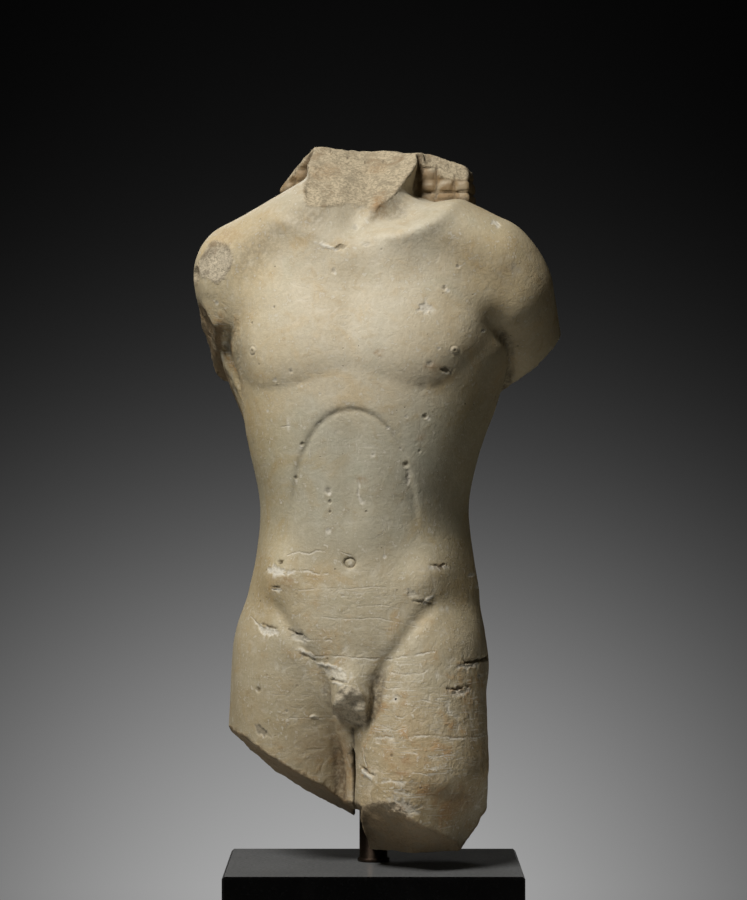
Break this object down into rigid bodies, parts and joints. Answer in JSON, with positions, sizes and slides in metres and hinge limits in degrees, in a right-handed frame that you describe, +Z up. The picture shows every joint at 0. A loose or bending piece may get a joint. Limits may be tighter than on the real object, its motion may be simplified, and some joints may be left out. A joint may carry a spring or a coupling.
{
  "type": "marble torso sculpture",
  "caption": "Weathered marble torso of a standing youth, broken at neck, arms and thighs, held by a round steel post on a polished black stone plinth.",
  "frame": {"origin": "centre of the plinth's underside, where the work stands", "axes": "+Z up, -Y towards the front, +X to the right of someone looking at the front"},
  "size_m": [0.3279, 0.2075, 0.7387],
  "materials": {
    "marble": "weathered, warm, matt",
    "post_steel": "dark patinated",
    "black_stone": "polished"
  },
  "bodies": {
    "root": {"torso": "marble", "post": "post_steel", "plinth": "black_stone"}
  },
  "joints": []
}
